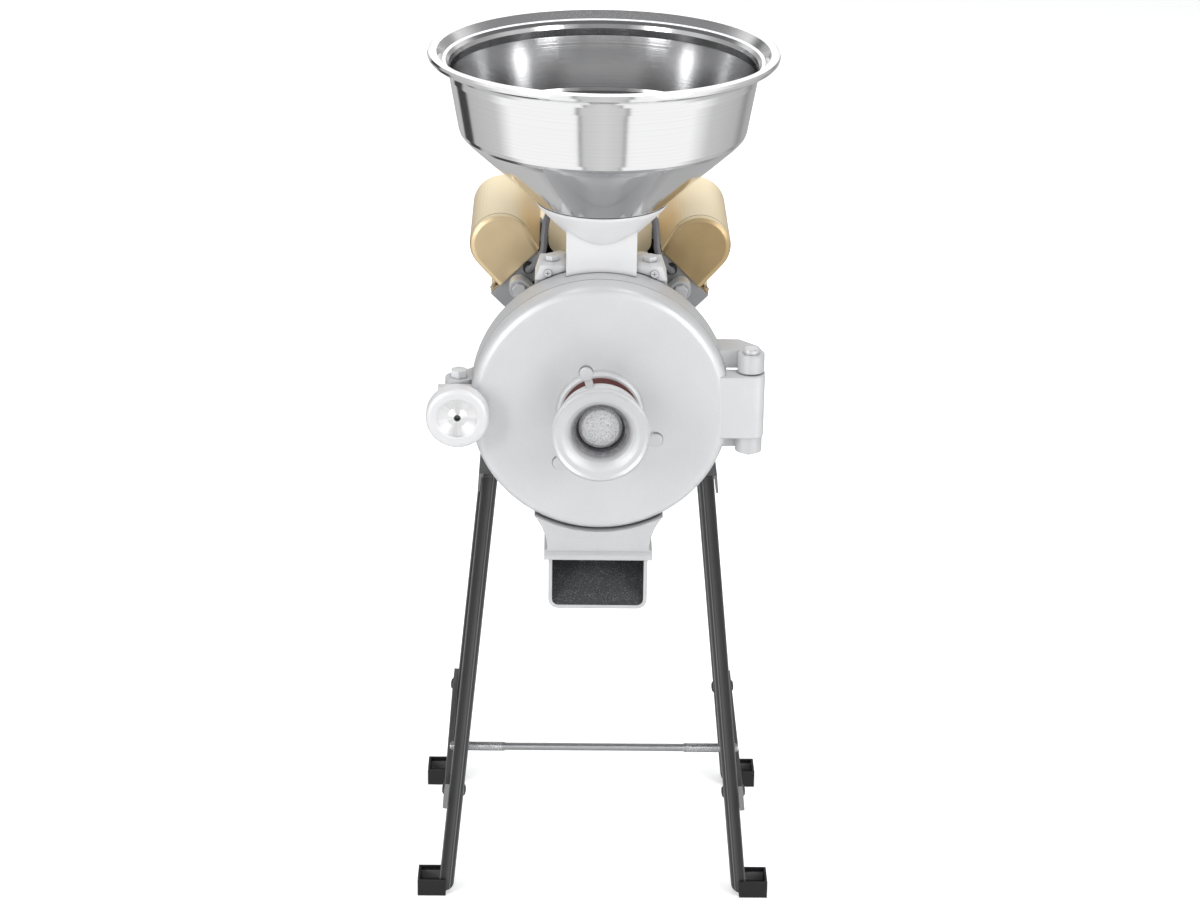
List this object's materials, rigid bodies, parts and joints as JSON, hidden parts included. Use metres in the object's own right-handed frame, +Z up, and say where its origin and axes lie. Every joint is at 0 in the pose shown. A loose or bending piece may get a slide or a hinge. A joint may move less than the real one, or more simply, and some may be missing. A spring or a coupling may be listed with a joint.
{
  "type": "grain mill",
  "caption": "Motor-driven disc grain mill with round hopper, hinged cover, adjusting knob and front spout on four splayed legs",
  "frame": {"origin": "middle of the bounding box on the floor under the rubber boots", "axes": "+Z up; the hinged cover, the knob and the spout face -Y; the shaft runs along Y; +X is the hinge side, to the right of a person facing the cover"},
  "size_m": [0.3, 0.41, 0.747],
  "materials": {
    "cast_silver": "silver hammer paint on cast iron, satin",
    "stainless": "mirror polished stainless sheet",
    "gold_cover": "gold satin lacquer on drawn sheet",
    "zinc": "zinc plated steel",
    "bright_steel": "turned steel, bright",
    "cast_iron": "bare cast iron, ground faces",
    "shield_grey": "cast aluminium, light grey paint",
    "motor_black": "black satin paint on aluminium",
    "stand_black": "black satin powder coat on steel",
    "rubber_black": "moulded rubber, matt",
    "seal_red": "red rubber",
    "copper": "enamelled copper wire",
    "lamination": "electrical steel laminations",
    "plastic_black": "moulded plastic",
    "switch_red": "moulded plastic, gloss",
    "capacitor_can": "drawn aluminium can",
    "lead_sleeve": "black and grey sleeving"
  },
  "bodies": {
    "base": {"mill_body": "cast_silver", "discharge_spout": "cast_silver", "hinge_pin": "zinc", "feed_throat": "cast_silver", "throat_bolts": "zinc", "shaft_seal": "rubber_black", "front_bearing": "bright_steel", "rear_bearing": "bright_steel", "clamp_pivot_bolt": "zinc", "front_end_shield": "shield_grey", "body_bolts": "zinc", "shield_pad_bolts": "zinc", "motor_housing": "motor_black", "stator_core": "lamination", "stator_windings": "copper", "rear_end_shield": "shield_grey", "shield_tie_bolts": "zinc", "fan_cover": "gold_cover", "cover_screws": "zinc", "terminal_box": "gold_cover", "terminal_box_lid": "gold_cover", "switch_bezel": "plastic_black", "cord_gland": "plastic_black", "start_capacitor": "capacitor_can", "run_capacitor": "capacitor_can", "capacitor_cover_left": "gold_cover", "capacitor_cover_right": "gold_cover", "capacitor_lead_left": "lead_sleeve", "capacitor_lead_right": "lead_sleeve", "lead_grommets": "rubber_black", "base_bracket": "stand_black", "motor_foot_bolts": "zinc", "leg_front_left": "stand_black", "leg_front_right": "stand_black", "leg_rear_left": "stand_black", "leg_rear_right": "stand_black", "leg_bolts": "zinc", "tie_rod": "zinc", "side_braces": "stand_black", "brace_rivets": "stand_black", "rubber_boots": "rubber_black"},
    "cover": {"cover": "cast_silver", "cover_gasket": "rubber_black", "dust_seal": "seal_red", "guide_pins": "bright_steel"},
    "disc_carrier": {"pressure_spindle": "bright_steel", "stationary_disc": "cast_iron", "stationary_disc_screws": "zinc"},
    "knob": {"adjusting_knob": "cast_silver"},
    "lock_nut": {"lock_nut": "cast_silver"},
    "rotor": {"rotating_disc": "cast_iron", "disc_bolt": "zinc", "feed_screw": "cast_iron", "shaft_keys": "zinc", "motor_shaft": "bright_steel", "rotor_core": "lamination", "cooling_fan": "plastic_black"},
    "clamp": {"clamp_bolt": "zinc"},
    "handwheel": {"clamp_handwheel": "cast_silver"},
    "rocker": {"rocker_switch": "switch_red"},
    "hopper": {"hopper": "stainless"}
  },
  "joints": [
    {"name": "cover_open", "type": "hinge", "parent": "base", "child": "cover", "pos_m": [0.1175, -0.115, 0.472], "axis": [0, 0, 1], "range_deg": [0, 110]},
    {"name": "disc_feed", "type": "slide", "parent": "cover", "child": "disc_carrier", "axis": [0, 1, 0], "range_m": [-0.003, 0.0012]},
    {"name": "knob_turn", "type": "hinge", "parent": "disc_carrier", "child": "knob", "pos_m": [0, -0.15, 0.472], "axis": [0, 1, 0], "range_deg": [-359, 143]},
    {"name": "lock_nut_turn", "type": "hinge", "parent": "knob", "child": "lock_nut", "pos_m": [0, -0.158, 0.472], "axis": [0, 1, 0], "range_deg": [-180, 180]},
    {"name": "rotor_spin", "type": "hinge", "parent": "base", "child": "rotor", "pos_m": [0, -0.07, 0.472], "axis": [0, 1, 0], "continuous": true},
    {"name": "clamp_swing", "type": "hinge", "parent": "cover", "child": "clamp", "pos_m": [-0.1108, -0.104, 0.472], "axis": [0, 0, -1], "range_deg": [0, 95]},
    {"name": "handwheel_turn", "type": "hinge", "parent": "clamp", "child": "handwheel", "pos_m": [-0.1108, -0.14, 0.472], "axis": [0, -1, 0], "range_deg": [0, 720]},
    {"name": "switch_rock", "type": "hinge", "parent": "base", "child": "rocker", "pos_m": [0.016, 0.091, 0.585], "axis": [1, 0, 0], "range_deg": [0, 18]},
    {"name": "hopper_lift", "type": "slide", "parent": "base", "child": "hopper", "axis": [0, 0, 1], "range_m": [0, 0.15]}
  ],
  "couplings": [
    {"joint": "disc_feed", "follows": "knob_turn", "m_per_rad": 0.00047746}
  ]
}
